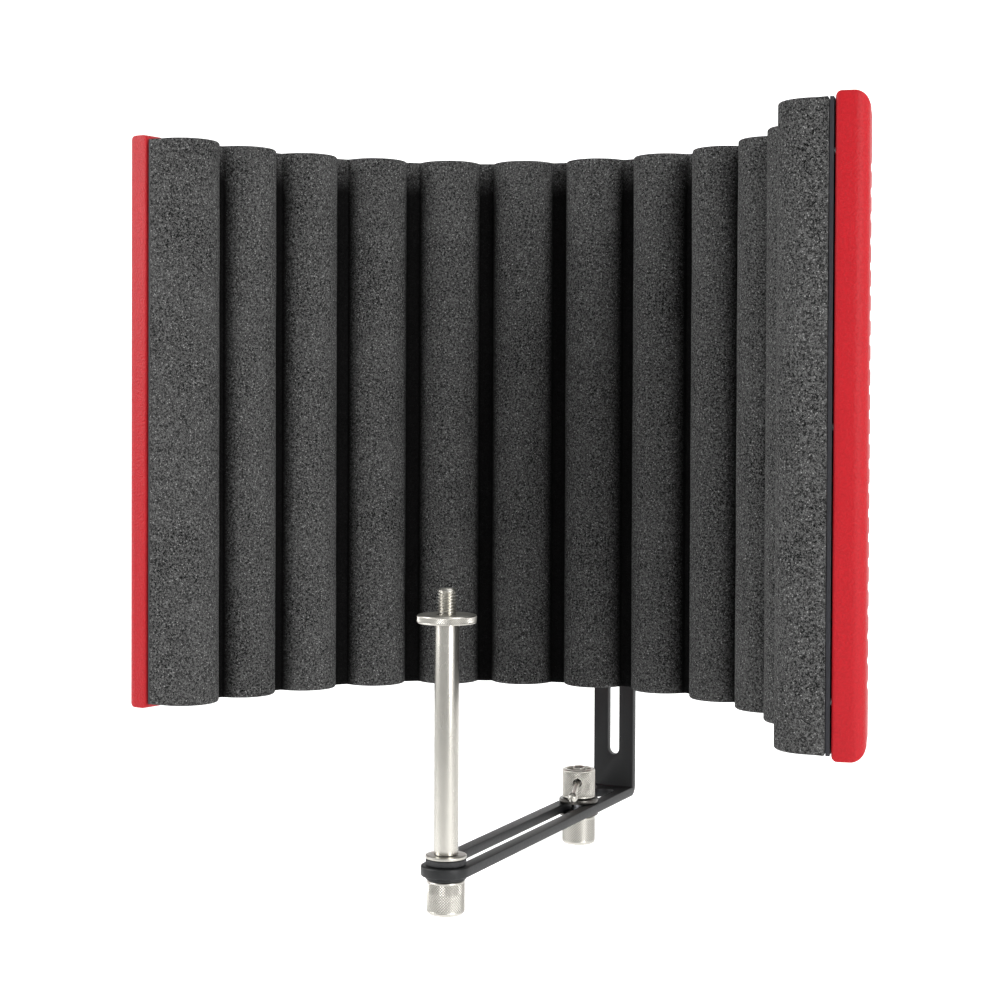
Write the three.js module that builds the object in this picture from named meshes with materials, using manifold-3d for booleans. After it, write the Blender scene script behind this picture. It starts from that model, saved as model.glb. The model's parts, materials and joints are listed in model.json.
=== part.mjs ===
// Microphone isolation shield: a curved absorber on an L bracket, with a mic pole and a stand clamp.
// Millimetres, +Z up, -Y towards the singer. The origin is the mouth of the stand socket, on its axis.
import * as THREE from 'three';
import { mergeVertices } from 'three/addons/utils/BufferGeometryUtils.js';
import Module from 'manifold-3d';

const wasm = await Module();
wasm.setup();

// ---- Driving dimensions ----
const seatGap = 0.3; // between pieces that rest on each other
const boreGap = 0.3; // radial, between a shank and the hole it passes through
const layerGap = 0.5; // between the liner and the shell's front edge
const curveSlack = 0.7; // between the shell's wall and the plate inside it
const roundSides = 28;
const sweepStep = 22; // most along the curve between two of the shell's sections
const smallSides = 20;

// Absorber: a row of round foam lobes along a curve through the lobe tips.
const lobeCount = 13;
const lobePitch = 39.7;
const lobeRadius = 18.5;
const valleyDepth = 13.5;
const foamDepth = 25.4;
const foamHeight = 305;
const backRadius = 150; // of the tip curve, behind the microphone
const wingRadius = 295; // of the tip curve, at each wing
const wingLength = 88;

// Shell behind the absorber.
const linerThickness = 1.9;
const shellThickness = 15.7;
const shellWall = 2.5;
const shellFlange = 3;
const shellOverhang = 2.5; // how far the shell stands above and below the foam
const edgeRound = 7;
const edgeChamfer = 3;
const ribPitch = 11.7;
const plainEdge = 29.5; // least height left plain above and below the ribs
const grooveWidth = 4.6;
const grooveDepth = 1.3;
const feltInset = 6;
const railLength = 12; // of an end rail, along the curve
const tongueLength = 10;
const tongueFit = 0.6;
const railScrews = 3;
const screwHead = 3.4;
const screwMargin = 27.2; // from the shell's top and foot to the nearest screws
const screwShank = 1.6;
const screwLength = 11;

// Bracket and what bolts the shell to it.
const clampToLeg = 55; // stand axis to the front face of the upright leg
const plateThickness = 5;
const plateWidth = 25;
const bendInside = 1;
const legHeight = 190;
const legSlotWidth = 7;
const legSlotLow = 19;
const legSlotMargin = 12;
const armSlotPlay = 3; // across the slot, beyond the thicker of the two shanks in it
const armSlotMargin = 10; // from the leg to the slot
const padThickness = 3.7;
const padWidth = 34;
const padMargin = 18; // beyond the bolts, above and below
const mountBandWidth = 46;
const boltRadius = 3;
const boltSpacing = 50;
const boltRise = 30; // lower bolt above the foam's lower edge
const boltHeadRadius = 7;
const boltHeadThickness = 2.6;
const backingThickness = 2;
const backingMargin = 15;
const washerThickness = 1.5;
const boltWasherRadius = 9;
const thumbNutRadius = 11;
const thumbNutStep = 3.1; // from the knob to its neck
const thumbNutThickness = 10;
const boltTail = 2;
const foamToArm = 65; // foam's lower edge above the arm

// Stand clamp.
const socketHeight = 16;
const socketRadius = 9.4;
const standThreadRadius = 7.5;
const standThreadDepth = 13;
const clampStudRadius = 4;
const clampWasherRadius = 11.2;
const clampWasherThickness = 2.5; // of the upper washer
const clampDomeRise = 1.8; // of the stud's cap above the nut
const clampNutRadius = 9.3;
const clampNutHeight = 16.5;
const clampRecessRadius = 7;
const clampRecessDepth = 2.5;
const clampThreadDepth = 7;
const barRise = 10.2; // tommy bar's axis above the nut's lower face
const barRadius = 1.5;
const barHoleRadius = 2.5;
const barReach = 29; // from the nut's side to the middle of the front ball
const ballRadius = 2.8;
const barTilt = 5;
const barHeading = -73; // degrees from +X, seen from above

// Microphone pole.
const poleReach = 175; // stand axis to pole axis
const poleRadius = 6.1;
const poleLength = 114;
const poleStudRadius = 4.76;
const poleStudHeight = 13;
const flangeRadius = 14.7;
const flangeThickness = 4.2;
const collarRadius = 10.1;
const collarThickness = 3;
const poleWasherRadius = 10.3;
const poleNutRadius = 9.4;
const poleNutHeight = 17;
const poleBoltRadius = 4;
const threadEngagement = 12;

// ---- Places worked out from them ----
const armSlotWidth = 2 * Math.max(poleBoltRadius, clampStudRadius) + armSlotPlay;
const linerAt = foamDepth + seatGap;
const shellAt = linerAt + linerThickness + layerGap;
const shellBack = shellAt + shellThickness;
const padAt = shellBack + seatGap;
const legAt = padAt + padThickness + seatGap;
const tipY = clampToLeg - legAt;
const lowerWasherZ = socketHeight + seatGap;
const armBottom = lowerWasherZ + washerThickness + seatGap;
const armTop = armBottom + plateThickness;
const foamBottom = armTop + foamToArm;
const foamMiddle = foamBottom + foamHeight / 2;
const shellHeight = foamHeight + 2 * shellOverhang;
const halfCurve = (lobeCount - 1) / 2 * lobePitch + lobeRadius;
const backArc = halfCurve - wingLength;
const railEnd = halfCurve + seatGap;
const shellEnd = railEnd - railLength - seatGap;
const shellSteps = 2 * Math.ceil(halfCurve / sweepStep);
const ribGrooves = 1 + Math.floor((shellHeight - 2 * plainEdge - grooveWidth) / ribPitch);
const backingAt = shellBack - grooveDepth - shellWall - curveSlack - backingThickness;
const boltHeadAt = backingAt - seatGap - boltHeadThickness;
const feltAt = shellAt + seatGap;
const feltThickness = boltHeadAt - seatGap - feltAt; // as thick as the bolt heads allow
const boltHeights = [foamBottom + boltRise, foamBottom + boltRise + boltSpacing];

// ---- Materials ----
const paint = (color, roughness, metalness) =>
  new THREE.MeshStandardMaterial({ color, roughness, metalness });
const foamGrey = paint(0x3b3d3f, 0.95, 0);
const shellRed = paint(0xc4202c, 0.55, 0);
const feltGrey = paint(0x55524d, 1, 0);
const linerBlack = paint(0x17181a, 0.8, 0);
const blackSteel = paint(0x24272c, 0.45, 0.6);
const nickel = paint(0xc9c4ba, 0.28, 1);
const zincSteel = paint(0x9da0a2, 0.4, 1);

// ---- Solid helpers ----
function toSolid(geometry) {
  geometry.deleteAttribute('normal');
  geometry.deleteAttribute('uv');
  const merged = mergeVertices(geometry, 1e-4);
  const vertProperties = new Float32Array(merged.attributes.position.array);
  const triVerts = new Uint32Array(merged.index.array);
  return new wasm.Manifold(new wasm.Mesh({ numProp: 3, vertProperties, triVerts }));
}

function toGeometry(solid) {
  const mesh = solid.getMesh();
  const geometry = new THREE.BufferGeometry();
  geometry.setAttribute('position', new THREE.BufferAttribute(mesh.vertProperties, 3));
  geometry.setIndex(new THREE.BufferAttribute(mesh.triVerts, 1));
  geometry.computeVertexNormals();
  return geometry;
}

function cut(geometry, ...tools) {
  return toGeometry(tools.reduce((solid, tool) => solid.subtract(toSolid(tool)), toSolid(geometry)));
}

function common(first, second) {
  return toGeometry(toSolid(first).intersect(toSolid(second)));
}

function joined(first, second) {
  return toGeometry(toSolid(first).add(toSolid(second)));
}

// A turned piece about Z. The profile is [radius, z] pairs, going up the outside.
function turned(profile, sides = roundSides) {
  const points = profile.map(([radius, z]) => new THREE.Vector2(radius, z));
  return new THREE.LatheGeometry(points, sides).rotateX(Math.PI / 2);
}

function disc(radius, low, high, sides = roundSides) {
  return turned([[0, low], [radius, low], [radius, high], [0, high]], sides);
}

function ring(inner, outer, low, high, sides = roundSides) {
  return turned([[inner, low], [outer, low], [outer, high], [inner, high], [inner, low]], sides);
}

// A shank along +Y, for holes and bolts through the back of the shield.
function alongY(geometry, x, z) {
  return geometry.rotateX(-Math.PI / 2).translate(x, 0, z);
}

function prism(points, low, high) {
  const shape = new THREE.Shape(points);
  const depth = high - low;
  return new THREE.ExtrudeGeometry(shape, { depth, bevelEnabled: false }).translate(0, 0, low);
}

// Turns a side view drawn in Y and Z, and extruded, to run along X.
function sideways(geometry) {
  return geometry.rotateX(Math.PI / 2).rotateZ(Math.PI / 2);
}

// A slot's outline with round ends, from one end's centre to the other's, along the first axis.
function slotShape(from, to, width) {
  const shape = new THREE.Shape();
  shape.absarc(to, 0, width / 2, -Math.PI / 2, Math.PI / 2, false);
  shape.absarc(from, 0, width / 2, Math.PI / 2, 3 * Math.PI / 2, false);
  return shape;
}

// ---- The shield's curve ----
function angleAt(along) {
  const side = Math.sign(along);
  const distance = Math.abs(along);
  const wing = Math.max(distance - backArc, 0);
  return side * (Math.min(distance, backArc) / backRadius + wing / wingRadius);
}

// The point at a distance along the tip curve from its middle, and at an offset outwards from it.
function shieldPoint(along, offset) {
  const side = Math.sign(along) || 1;
  const angle = Math.abs(angleAt(along));
  const turn = Math.min(angle, backArc / backRadius);
  const x = backRadius * Math.sin(turn) + wingRadius * (Math.sin(angle) - Math.sin(turn));
  const y = backRadius * (Math.cos(turn) - 1) + wingRadius * (Math.cos(angle) - Math.cos(turn));
  return new THREE.Vector2(
    side * (x + offset * Math.sin(angle)),
    tipY + y + offset * Math.cos(angle),
  );
}

// The distance along the tip curve of a point at x on the back's offset curve.
function alongAt(x, offset) {
  return backRadius * Math.asin(x / (backRadius + offset));
}

class ShieldCurve extends THREE.Curve {
  constructor(reach) {
    super();
    this.reach = reach;
  }

  getPoint(t, target = new THREE.Vector3()) {
    const { x, y } = shieldPoint(this.reach * (2 * t - 1), 0);
    return target.set(x, y, 0);
  }

  getTangent(t, target = new THREE.Vector3()) {
    const angle = angleAt(this.reach * (2 * t - 1));
    return target.set(Math.cos(angle), -Math.sin(angle), 0);
  }
}

// A section drawn as [offset, height] pairs, swept along the curve from -reach to +reach.
// The sweep carries a shape's x to -Z and its y outwards.
function swept(section, reach, steps) {
  const shape = new THREE.Shape(section.map(([offset, z]) => new THREE.Vector2(-z, offset)));
  const extrudePath = new ShieldCurve(reach);
  return new THREE.ExtrudeGeometry(shape, { steps, extrudePath, bevelEnabled: false });
}

function band(inside, thickness, height, reach, steps, middle = foamMiddle) {
  const outside = inside + thickness;
  const half = height / 2;
  const section = [[inside, -half], [outside, -half], [outside, half], [inside, half]];
  return swept(section, reach, steps).translate(0, 0, middle);
}

// ---- Absorber and shell ----
// Lobes are true arcs about their own centres, so the valleys open out where the curve is tight.
function foamPanel() {
  const outline = [];
  const last = (lobeCount - 1) / 2;
  const steps = 10;
  for (let lobe = -last; lobe <= last; lobe++) {
    const along = lobe * lobePitch;
    const centre = shieldPoint(along, lobeRadius);
    const facing = angleAt(along);
    const cutOff = Math.acos(1 - valleyDepth / lobeRadius);
    const from = lobe === -last ? Math.PI / 2 : cutOff;
    const to = lobe === last ? Math.PI / 2 : cutOff;
    for (let step = 0; step <= steps; step++) {
      const turn = -from + (from + to) * step / steps;
      const angle = facing + Math.PI - turn;
      outline.push(new THREE.Vector2(
        centre.x + lobeRadius * Math.sin(angle),
        centre.y + lobeRadius * Math.cos(angle),
      ));
    }
  }
  const backSteps = 40;
  for (let step = 0; step <= backSteps; step++) {
    outline.push(shieldPoint(halfCurve * (1 - 2 * step / backSteps), foamDepth));
  }
  return prism(outline, foamBottom, foamBottom + foamHeight);
}

function railScrewHeights() {
  const spread = shellHeight - 2 * screwMargin;
  return Array.from({ length: railScrews }, (_, index) =>
    foamMiddle + spread * (index / (railScrews - 1) - 0.5));
}

// A countersunk screw, pointing outwards from the front of the liner into an end rail.
function railScrew(side, height, extra = 0) {
  const profile = [
    [0, -extra],
    [screwHead + extra, -extra],
    [screwShank + extra, linerThickness],
    [screwShank + extra, screwLength + extra],
    [0, screwLength + extra],
  ];
  const along = side * (railEnd - railLength / 2);
  const start = shieldPoint(along, linerAt);
  return turned(profile, 12)
    .rotateX(-Math.PI / 2)
    .rotateZ(-angleAt(along))
    .translate(start.x, start.y, height);
}

function screwHoles() {
  return [-1, 1].flatMap((side) =>
    railScrewHeights().map((height) => railScrew(side, height, boreGap)));
}

function linerPanel() {
  const panel = band(linerAt, linerThickness, foamHeight, railEnd - edgeChamfer / 2, 40);
  return cut(panel, ...screwHoles());
}

function feltLayer() {
  const height = shellHeight - 2 * (shellFlange + seatGap);
  return band(feltAt, feltThickness, height, shellEnd - tongueLength - feltInset, 30);
}

// The shell's section: a channel open to the front, with rounded outer edges and ribs across its back.
function shellSection() {
  const half = shellHeight / 2;
  const section = [[shellAt, -half + edgeChamfer], [shellAt + edgeChamfer, -half]];
  const bends = 4;
  const edge = [];
  for (let step = 0; step <= bends; step++) {
    const turn = Math.PI / 2 * step / bends;
    edge.push([
      shellBack - edgeRound + edgeRound * Math.sin(turn),
      half - edgeRound + edgeRound * Math.cos(turn),
    ]);
  }
  section.push(...edge.map(([offset, z]) => [offset, -z]));
  for (let groove = 0; groove < ribGrooves; groove++) {
    const middle = (groove - (ribGrooves - 1) / 2) * ribPitch;
    const floor = grooveWidth / 2 - grooveDepth;
    section.push(
      [shellBack, middle - grooveWidth / 2],
      [shellBack - grooveDepth, middle - floor],
      [shellBack - grooveDepth, middle + floor],
      [shellBack, middle + grooveWidth / 2],
    );
  }
  section.push(...edge.slice().reverse());
  section.push([shellAt + edgeChamfer, half], [shellAt, half - edgeChamfer]);
  const wall = shellBack - grooveDepth - shellWall;
  const inner = half - shellFlange;
  const corner = edgeRound - shellFlange;
  section.push([shellAt, inner], [wall - corner, inner], [wall, inner - corner]);
  section.push([wall, corner - inner], [wall - corner, -inner], [shellAt, -inner]);
  return section;
}

function boltHoles() {
  return boltHeights.map((height) =>
    alongY(disc(boltRadius + boreGap, tipY, clampToLeg, smallSides), 0, height));
}

// The plain band down the middle of the back, where the bracket's pad seats.
function mountBand() {
  const thickness = grooveDepth + 0.5 * shellWall;
  const height = shellHeight - 2 * edgeRound;
  return band(shellBack - thickness, thickness, height, alongAt(mountBandWidth / 2, shellBack), 4);
}

function rearShell() {
  const channel = swept(shellSection(), shellEnd, shellSteps).translate(0, 0, foamMiddle);
  return cut(joined(channel, mountBand()), ...boltHoles());
}

// An end rail in its own frame: +X outwards, +Y off the end of the curve, +Z up from its middle.
function railBlock() {
  const half = shellHeight / 2;
  const plan = new THREE.Shape();
  plan.moveTo(0, 0);
  plan.lineTo(shellThickness, 0);
  plan.lineTo(shellThickness, railLength - edgeRound);
  plan.absarc(shellThickness - edgeRound, railLength - edgeRound, edgeRound, 0, Math.PI / 2, false);
  plan.lineTo(edgeChamfer / 2, railLength);
  plan.lineTo(0, railLength - edgeChamfer / 2);
  const upright = new THREE.ExtrudeGeometry(plan, {
    depth: shellHeight, bevelEnabled: false, curveSegments: 5,
  }).translate(0, 0, -half);
  const elevation = new THREE.Shape();
  elevation.moveTo(0, edgeChamfer - half);
  elevation.lineTo(edgeChamfer, -half);
  elevation.absarc(shellThickness - edgeRound, edgeRound - half, edgeRound, -Math.PI / 2, 0, false);
  elevation.absarc(shellThickness - edgeRound, half - edgeRound, edgeRound, 0, Math.PI / 2, false);
  elevation.lineTo(edgeChamfer, half);
  elevation.lineTo(0, half - edgeChamfer);
  const through = new THREE.ExtrudeGeometry(elevation, {
    depth: 3 * railLength, bevelEnabled: false, curveSegments: 5,
  }).rotateX(Math.PI / 2).translate(0, 2 * railLength, 0);
  return common(upright, through);
}

// The tongue fills the open end of the shell's channel.
function railTongue() {
  const depth = shellThickness - grooveDepth - shellWall - 2 * tongueFit;
  const corner = edgeRound - shellFlange;
  const height = shellHeight - 2 * (shellFlange + tongueFit + corner);
  const length = tongueLength + railLength / 2;
  return new THREE.BoxGeometry(depth, length, height)
    .translate(depth / 2 + tongueFit, length / 2 - tongueLength, 0);
}

function endRail(side) {
  const foot = shieldPoint(side * (shellEnd + seatGap), shellAt);
  const rail = joined(railBlock(), railTongue());
  if (side > 0) rail.rotateX(Math.PI);
  rail.rotateZ(Math.PI / 2 - angleAt(side * shellEnd)).translate(foot.x, foot.y, foamMiddle);
  return cut(rail, ...screwHoles());
}

function backingPlate() {
  const height = boltSpacing + 2 * backingMargin;
  const middle = (boltHeights[0] + boltHeights[1]) / 2;
  const reach = alongAt(padWidth / 2 + backingMargin / 2, backingAt);
  return cut(band(backingAt, backingThickness, height, reach, 8, middle), ...boltHoles());
}

// The pad fits the shell's curve in front and is flat behind, for the bracket.
function bracketPad() {
  const outline = [];
  const steps = 8;
  for (let step = 0; step <= steps; step++) {
    const x = padWidth * (step / steps - 0.5);
    outline.push(shieldPoint(alongAt(x, padAt), padAt));
  }
  outline.push(new THREE.Vector2(padWidth / 2, clampToLeg - seatGap));
  outline.push(new THREE.Vector2(-padWidth / 2, clampToLeg - seatGap));
  return cut(prism(outline, boltHeights[0] - padMargin, boltHeights[1] + padMargin), ...boltHoles());
}

// ---- Bracket and its bolts ----
const legBack = clampToLeg + plateThickness;
const legTop = armTop + legHeight;
const washerFrom = legBack + seatGap;
const thumbNutFrom = washerFrom + washerThickness + seatGap;
const boltEnd = thumbNutFrom + thumbNutThickness + boltTail;

function bracketBlank() {
  const outer = bendInside + plateThickness;
  const front = -poleReach - plateWidth / 2;
  const profile = new THREE.Shape();
  profile.moveTo(front, armBottom);
  profile.lineTo(legBack - outer, armBottom);
  profile.absarc(legBack - outer, armBottom + outer, outer, -Math.PI / 2, 0, false);
  profile.lineTo(legBack, legTop);
  profile.lineTo(clampToLeg, legTop);
  profile.lineTo(clampToLeg, armTop + bendInside);
  profile.absarc(clampToLeg - bendInside, armTop + bendInside, bendInside, 0, -Math.PI / 2, true);
  profile.lineTo(front, armTop);
  const depth = plateWidth;
  const blank = new THREE.ExtrudeGeometry(profile, { depth, bevelEnabled: false, curveSegments: 8 });
  return sideways(blank).translate(-plateWidth / 2, 0, 0);
}

function lBracket() {
  const half = plateWidth / 2;
  const plan = new THREE.Shape();
  plan.moveTo(-half, legBack + 1);
  plan.lineTo(-half, -poleReach);
  plan.absarc(0, -poleReach, half, Math.PI, 2 * Math.PI, false);
  plan.lineTo(half, legBack + 1);
  const trim = new THREE.ExtrudeGeometry(plan, {
    depth: legTop, bevelEnabled: false, curveSegments: 16,
  });
  const rounded = common(bracketBlank(), trim);
  const armSlotBack = clampToLeg - armSlotMargin - armSlotWidth / 2;
  const armSlot = new THREE.ExtrudeGeometry(slotShape(-poleReach, armSlotBack, armSlotWidth), {
    depth: 3 * plateThickness, bevelEnabled: false, curveSegments: 10,
  }).rotateZ(Math.PI / 2).translate(0, 0, armBottom - plateThickness);
  const legSlotFrom = armTop + legSlotLow + legSlotWidth / 2;
  const legSlotTo = legTop - legSlotMargin - legSlotWidth / 2;
  const legSlot = new THREE.ExtrudeGeometry(slotShape(legSlotFrom, legSlotTo, legSlotWidth), {
    depth: 3 * plateThickness, bevelEnabled: false, curveSegments: 10,
  }).rotateZ(Math.PI / 2).rotateX(Math.PI / 2).translate(0, legBack + plateThickness, 0);
  return cut(rounded, armSlot, legSlot);
}

function shieldBolt(height) {
  const headFront = tipY + boltHeadAt;
  const headBack = headFront + boltHeadThickness;
  const profile = [
    [0, headFront], [boltHeadRadius - 1, headFront], [boltHeadRadius, headFront + 1],
    [boltHeadRadius, headBack], [boltRadius, headBack],
    [boltRadius, boltEnd - 0.5], [boltRadius - 0.5, boltEnd], [0, boltEnd],
  ];
  return alongY(turned(profile, smallSides), 0, height);
}

function boltWasher(height) {
  const washer = ring(
    boltRadius + boreGap, boltWasherRadius, washerFrom, washerFrom + washerThickness, smallSides);
  return alongY(washer, 0, height);
}

function thumbNut(height) {
  const bore = boltRadius + boreGap;
  const end = thumbNutFrom + thumbNutThickness;
  const neck = thumbNutRadius - thumbNutStep;
  const profile = [
    [bore, thumbNutFrom], [neck, thumbNutFrom], [neck, thumbNutFrom + 2],
    [thumbNutRadius, thumbNutFrom + 2.6], [thumbNutRadius, end - 0.8], [thumbNutRadius - 0.8, end],
    [bore, end], [bore, thumbNutFrom],
  ];
  return alongY(turned(profile), 0, height);
}

// ---- Stand clamp ----
const upperWasherZ = armTop + seatGap;
const clampNutZ = upperWasherZ + clampWasherThickness + seatGap;
const barHeight = clampNutZ + barRise;

function standSocket() {
  const stud = clampStudRadius + boreGap;
  return turned([
    [standThreadRadius, 0], [socketRadius - 0.6, 0], [socketRadius, 0.6],
    [socketRadius, socketHeight - 0.6], [socketRadius - 0.6, socketHeight],
    [stud, socketHeight], [stud, standThreadDepth], [standThreadRadius, standThreadDepth],
    [standThreadRadius, 0],
  ]);
}

function clampStud() {
  const top = clampNutZ + clampThreadDepth - seatGap;
  return disc(clampStudRadius, standThreadDepth + seatGap, top, smallSides);
}

function clampWasher(from, thickness) {
  return ring(clampStudRadius + boreGap, clampWasherRadius, from, from + thickness);
}

// Along the tommy bar: from an X-axis piece at the origin to its tilted place through the nut.
function alongBar(geometry) {
  return geometry
    .rotateY(THREE.MathUtils.degToRad(barTilt))
    .rotateZ(THREE.MathUtils.degToRad(barHeading))
    .translate(0, 0, barHeight);
}

function rodAlongX(radius, from, to, sides) {
  return disc(radius, from, to, sides).rotateY(Math.PI / 2);
}

// A recessed round nut with a low dome in its middle and a cross hole for the bar.
function clampNut() {
  const bore = clampStudRadius + boreGap;
  const top = clampNutHeight;
  const cap = 0.5 * clampRecessRadius;
  const nut = turned([
    [0, clampThreadDepth], [bore, clampThreadDepth], [bore, 0],
    [clampNutRadius - 0.4, 0], [clampNutRadius, 0.4],
    [clampNutRadius, top - 0.5], [clampNutRadius - 0.5, top],
    [clampRecessRadius, top], [clampRecessRadius, top - clampRecessDepth],
    [cap, top - clampRecessDepth], [cap, top + clampDomeRise / 3],
    [0.6 * cap, top + 0.85 * clampDomeRise], [0, top + clampDomeRise],
  ]).translate(0, 0, clampNutZ);
  return cut(nut, alongBar(rodAlongX(barHoleRadius, -2 * clampNutRadius, 2 * clampNutRadius, 16)));
}

const frontBallAt = clampNutRadius + barReach;
const rearBallAt = -(clampNutRadius + 0.5 + ballRadius);

function tommyBar() {
  return alongBar(rodAlongX(barRadius, rearBallAt, frontBallAt, 14));
}

function tommyBall(at) {
  const hole = rodAlongX(barRadius + 0.1, rearBallAt - seatGap, frontBallAt + seatGap, 14);
  const ball = new THREE.SphereGeometry(ballRadius, 12, 8).translate(at, 0, 0);
  return alongBar(cut(ball, hole));
}

// ---- Microphone pole ----
const collarZ = armTop + seatGap;
const poleWasherZ = collarZ + collarThickness + seatGap;
const poleZ = poleWasherZ + washerThickness + seatGap;
const poleTop = poleZ + poleLength;
const lowerPoleWasherZ = armBottom - seatGap - washerThickness;
const poleNutTop = lowerPoleWasherZ - seatGap;
const poleNutZ = poleNutTop - poleNutHeight;
const flangeZ = poleTop + seatGap;

function poleTube() {
  return ring(poleBoltRadius + boreGap, poleRadius, poleZ, poleTop);
}

function poleBolt() {
  const from = poleNutTop - threadEngagement;
  return disc(poleBoltRadius, from, poleZ + threadEngagement, smallSides);
}

function poleStud() {
  const tip = flangeZ + flangeThickness + poleStudHeight;
  return turned([
    [0, poleTop - threadEngagement], [poleBoltRadius, poleTop - threadEngagement],
    [poleBoltRadius, flangeZ], [poleStudRadius, flangeZ],
    [poleStudRadius, tip - 1], [poleStudRadius - 1, tip], [0, tip],
  ], smallSides);
}

function flangeNut() {
  const bore = poleStudRadius + boreGap;
  const top = flangeZ + flangeThickness;
  return turned([
    [bore, flangeZ], [flangeRadius - 0.5, flangeZ], [flangeRadius, flangeZ + 0.5],
    [flangeRadius, top - 0.5], [flangeRadius - 0.5, top], [bore, top], [bore, flangeZ],
  ]);
}

function poleNut() {
  const bore = poleBoltRadius + boreGap;
  const boreEnd = poleNutTop - threadEngagement - boreGap;
  return turned([
    [0, poleNutZ], [poleNutRadius - 1.2, poleNutZ], [poleNutRadius, poleNutZ + 1.2],
    [poleNutRadius, poleNutTop - 0.5], [poleNutRadius - 0.5, poleNutTop],
    [bore, poleNutTop], [bore, boreEnd], [0, boreEnd],
  ]);
}

// ---- Assembly ----
const shield = new THREE.Group();
const bracket = new THREE.Group();
const standClamp = new THREE.Group();
const micPole = new THREE.Group();
micPole.position.set(0, -poleReach, 0);

function place(group, name, geometry, material) {
  const mesh = new THREE.Mesh(geometry, material);
  mesh.name = name;
  group.add(mesh);
}

place(shield, 'foam_absorber', foamPanel(), foamGrey);
place(shield, 'liner_panel', linerPanel(), linerBlack);
place(shield, 'felt_layer', feltLayer(), feltGrey);
place(shield, 'rear_shell', rearShell(), shellRed);
for (const [side, label] of [[-1, 'left'], [1, 'right']]) {
  place(shield, `end_rail_${label}`, endRail(side), shellRed);
  railScrewHeights().forEach((height, index) =>
    place(shield, `rail_screw_${label}_${index + 1}`, railScrew(side, height), zincSteel));
}
place(shield, 'backing_plate', backingPlate(), zincSteel);
place(shield, 'bracket_pad', bracketPad(), linerBlack);
boltHeights.forEach((height, index) => {
  const label = ['lower', 'upper'][index];
  place(shield, `shield_bolt_${label}`, shieldBolt(height), zincSteel);
  place(shield, `bolt_washer_${label}`, boltWasher(height), zincSteel);
  place(shield, `thumb_nut_${label}`, thumbNut(height), nickel);
});

place(bracket, 'l_bracket', lBracket(), blackSteel);

place(standClamp, 'stand_socket', standSocket(), nickel);
place(standClamp, 'clamp_stud', clampStud(), zincSteel);
place(standClamp, 'clamp_washer_lower', clampWasher(lowerWasherZ, washerThickness), blackSteel);
place(standClamp, 'clamp_washer_upper', clampWasher(upperWasherZ, clampWasherThickness), blackSteel);
place(standClamp, 'clamp_nut', clampNut(), nickel);
place(standClamp, 'tommy_bar', tommyBar(), nickel);
place(standClamp, 'tommy_ball_front', tommyBall(frontBallAt), nickel);
place(standClamp, 'tommy_ball_rear', tommyBall(rearBallAt), nickel);

const bolt = poleBoltRadius + boreGap;
place(micPole, 'pole_tube', poleTube(), nickel);
place(micPole, 'pole_stud', poleStud(), nickel);
place(micPole, 'flange_nut', flangeNut(), nickel);
place(micPole, 'pole_washer',
  ring(bolt, poleWasherRadius, poleWasherZ, poleWasherZ + washerThickness), nickel);
place(micPole, 'pole_collar', ring(bolt, collarRadius, collarZ, collarZ + collarThickness), linerBlack);
place(micPole, 'pole_lower_washer',
  ring(bolt, collarRadius, lowerPoleWasherZ, lowerPoleWasherZ + washerThickness), blackSteel);
place(micPole, 'pole_bolt', poleBolt(), zincSteel);
place(micPole, 'pole_nut', poleNut(), nickel);

const shieldAssembly = new THREE.Group();
shieldAssembly.add(shield, bracket, standClamp, micPole);

export default shieldAssembly;
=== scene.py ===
"""Looks of a microphone isolation shield: foam, ribbed shell, slotted bracket, microphone pole and clamp.

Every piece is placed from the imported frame's boxes, and rides on the body that its CAD node belongs to.
"""
from collections import namedtuple
import json
import math

import bmesh
import bpy
from mathutils import Matrix, Vector, noise


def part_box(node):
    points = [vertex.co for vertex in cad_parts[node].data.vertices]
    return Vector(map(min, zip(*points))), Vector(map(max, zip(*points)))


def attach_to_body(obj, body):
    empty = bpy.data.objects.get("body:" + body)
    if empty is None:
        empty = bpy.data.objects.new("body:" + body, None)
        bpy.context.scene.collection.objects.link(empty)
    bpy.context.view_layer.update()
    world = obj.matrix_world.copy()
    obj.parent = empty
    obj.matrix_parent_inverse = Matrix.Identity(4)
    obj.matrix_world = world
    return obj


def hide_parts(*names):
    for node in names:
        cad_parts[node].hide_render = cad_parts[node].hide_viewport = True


bl_info = {
    "name": "Microphone isolation shield",
    "version": (1, 0, 0),
    "blender": (4, 5, 0),
    "location": "View3D > Sidebar > Shield",
    "description": "Builds the foam, shell, bracket, pole and clamp of a microphone isolation shield",
    "category": "Add Mesh",
}

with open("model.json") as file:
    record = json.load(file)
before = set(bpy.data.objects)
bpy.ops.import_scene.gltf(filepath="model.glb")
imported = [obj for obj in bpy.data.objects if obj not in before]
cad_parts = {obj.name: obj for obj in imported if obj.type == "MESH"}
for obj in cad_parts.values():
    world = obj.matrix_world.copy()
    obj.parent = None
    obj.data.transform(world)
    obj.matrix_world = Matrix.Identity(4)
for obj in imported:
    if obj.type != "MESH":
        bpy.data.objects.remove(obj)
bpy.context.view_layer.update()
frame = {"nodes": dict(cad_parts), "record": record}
WHITE = (1.0, 1.0, 1.0)
QUARTER = math.pi / 2

# Lengths are in metres. A Band is the knurled or threaded part of a turned piece.
MM = 0.001
ON_AXIS = 1e-9
SAME_PLACE = 1e-7
SEAT_GAP = 0.0003
SHANK_BORE = 0.0043
Band = namedtuple("Band", "start end pitch depth")


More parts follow.
